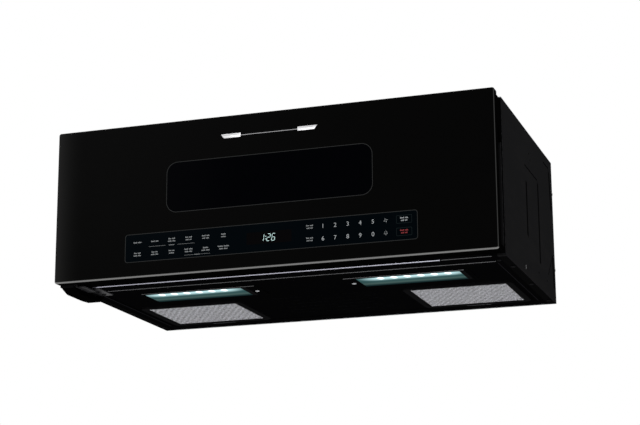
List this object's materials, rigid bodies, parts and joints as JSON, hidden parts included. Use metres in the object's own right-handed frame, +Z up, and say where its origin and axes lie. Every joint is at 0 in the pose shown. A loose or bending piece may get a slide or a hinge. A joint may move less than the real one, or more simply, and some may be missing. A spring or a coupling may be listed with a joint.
{
  "type": "over-the-range microwave oven",
  "caption": "Low-profile over-the-range microwave oven with a gloss black full-width door hinged at the left, turntable cavity, underside lamps, grease filters and a top exhaust collar.",
  "frame": {"origin": "on the wall, in the middle of the cabinet's lower rear edge", "axes": "+X to the right seen from the front, +Y into the wall, +Z up"},
  "size_m": [0.757, 0.469, 0.295],
  "materials": {
    "gloss_black": "gloss moulded",
    "black_enamel": "gloss enamel",
    "window_tint": "polished, black tint",
    "control_tint": "polished, black tint",
    "clear_glass": "polished",
    "lamp_lens": "frosted, faint green-blue",
    "dark_plastic": "satin moulded",
    "white_plastic": "satin moulded",
    "nylon": "satin moulded",
    "zinc_steel": "zinc plated",
    "spring_steel": "bright drawn",
    "filter_metal": "expanded sheet, satin",
    "cavity_enamel": "satin enamel",
    "bright_trim": "polished",
    "circuit_board": "coated board",
    "lamp_board": "white coated board",
    "core_steel": "varnished laminations",
    "mica": "pressed sheet",
    "black_screw": "black phosphate"
  },
  "bodies": {
    "cabinet": {"rear_panel": "zinc_steel", "left_side_panel": "black_enamel", "right_side_panel": "black_enamel", "top_panel": "zinc_steel", "front_plate": "black_enamel", "base_pan": "black_enamel", "vent_divider": "zinc_steel", "cavity_liner": "cavity_enamel", "waveguide": "zinc_steel", "waveguide_cover": "mica", "magnetron": "zinc_steel", "cavity_lamp": "white_plastic", "lamp_bezels": "dark_plastic", "lamp_lenses": "lamp_lens", "lamp_housings": "white_plastic", "lamp_boards": "lamp_board", "turntable_motor": "zinc_steel", "high_voltage_transformer": "core_steel", "high_voltage_capacitor": "zinc_steel", "power_board": "circuit_board", "cooling_fan_shroud": "white_plastic", "blower_housing": "zinc_steel", "blower_motor": "zinc_steel", "exhaust_collar": "zinc_steel", "cord_gland": "dark_plastic", "upper_hinge_bracket": "zinc_steel", "lower_hinge_bracket": "zinc_steel", "lower_hinge_cover": "gloss_black", "latch_housing": "white_plastic", "interlock_switches": "dark_plastic", "case_screws": "black_screw"},
    "door": {"door_front_panel": "gloss_black", "window_glass": "window_tint", "control_glass": "control_tint", "control_board": "circuit_board", "door_frame": "gloss_black", "hinge_bushes": "nylon", "choke_frame": "cavity_enamel", "choke_cover": "dark_plastic", "window_screen": "black_enamel", "inner_glass": "clear_glass", "badge_bar": "bright_trim", "door_screws": "black_screw", "latch_spring": "spring_steel"},
    "latch": {"door_latch": "nylon"},
    "turntable_drive": {"turntable_shaft": "spring_steel", "turntable_coupler": "nylon"},
    "tray": {"glass_tray": "clear_glass"},
    "ring": {"roller_ring": "nylon"},
    "roller_a": {"roller_1": "nylon"},
    "roller_b": {"roller_2": "nylon"},
    "roller_c": {"roller_3": "nylon"},
    "blower": {"blower_shaft": "spring_steel", "blower_wheels": "dark_plastic"},
    "cooling_fan": {"cooling_fan_blade": "dark_plastic"},
    "damper": {"damper_flap": "zinc_steel"},
    "left_filter": {"left_filter_frame": "filter_metal", "left_filter_mesh": "filter_metal"},
    "right_filter": {"right_filter_frame": "filter_metal", "right_filter_mesh": "filter_metal"}
  },
  "joints": [
    {"name": "door_swing", "type": "hinge", "parent": "cabinet", "child": "door", "pos_m": [-0.357, -0.439, 0.13], "axis": [0, 0, 1], "range_deg": [-105, 0]},
    {"name": "latch_slide", "type": "slide", "parent": "door", "child": "latch", "axis": [0, 0, 1], "range_m": [0, 0.004], "stiffness_N_per_m": 150, "springref_m": -0.004, "deforming": ["latch_spring"]},
    {"name": "tray_spin", "type": "hinge", "parent": "cabinet", "child": "turntable_drive", "pos_m": [0, -0.2498, 0.08], "axis": [0, 0, 1], "continuous": true},
    {"name": "tray_lift", "type": "slide", "parent": "turntable_drive", "child": "tray", "axis": [0, 0, 1], "range_m": [0, 0.03]},
    {"name": "ring_spin", "type": "hinge", "parent": "cabinet", "child": "ring", "pos_m": [0, -0.2498, 0.086], "axis": [0, 0, 1], "continuous": true},
    {"name": "roller_a_spin", "type": "hinge", "parent": "ring", "child": "roller_a", "pos_m": [0, -0.1578, 0.086], "axis": [0, 1, 0], "continuous": true},
    {"name": "roller_b_spin", "type": "hinge", "parent": "ring", "child": "roller_b", "pos_m": [-0.07967, -0.2958, 0.086], "axis": [-0.866, -0.5, 0], "continuous": true},
    {"name": "roller_c_spin", "type": "hinge", "parent": "ring", "child": "roller_c", "pos_m": [0.07967, -0.2958, 0.086], "axis": [0.866, -0.5, 0], "continuous": true},
    {"name": "blower_spin", "type": "hinge", "parent": "cabinet", "child": "blower", "pos_m": [0, -0.0422, 0.078], "axis": [1, 0, 0], "continuous": true},
    {"name": "fan_spin", "type": "hinge", "parent": "cabinet", "child": "cooling_fan", "pos_m": [0.309, -0.22, 0.163], "axis": [0, 1, 0], "continuous": true},
    {"name": "damper_open", "type": "hinge", "parent": "cabinet", "child": "damper", "pos_m": [0, -0.0082, 0.269], "axis": [-1, 0, 0], "range_deg": [0, 80]},
    {"name": "left_filter_drop", "type": "slide", "parent": "cabinet", "child": "left_filter", "axis": [0, 0, -1], "range_m": [0, 0.06]},
    {"name": "right_filter_drop", "type": "slide", "parent": "cabinet", "child": "right_filter", "axis": [0, 0, -1], "range_m": [0, 0.06]}
  ],
  "couplings": [
    {"joint": "ring_spin", "follows": "tray_spin", "ratio": 0.5},
    {"joint": "roller_a_spin", "follows": "tray_spin", "ratio": -6.8657},
    {"joint": "roller_b_spin", "follows": "tray_spin", "ratio": -6.8657},
    {"joint": "roller_c_spin", "follows": "tray_spin", "ratio": -6.8657}
  ]
}
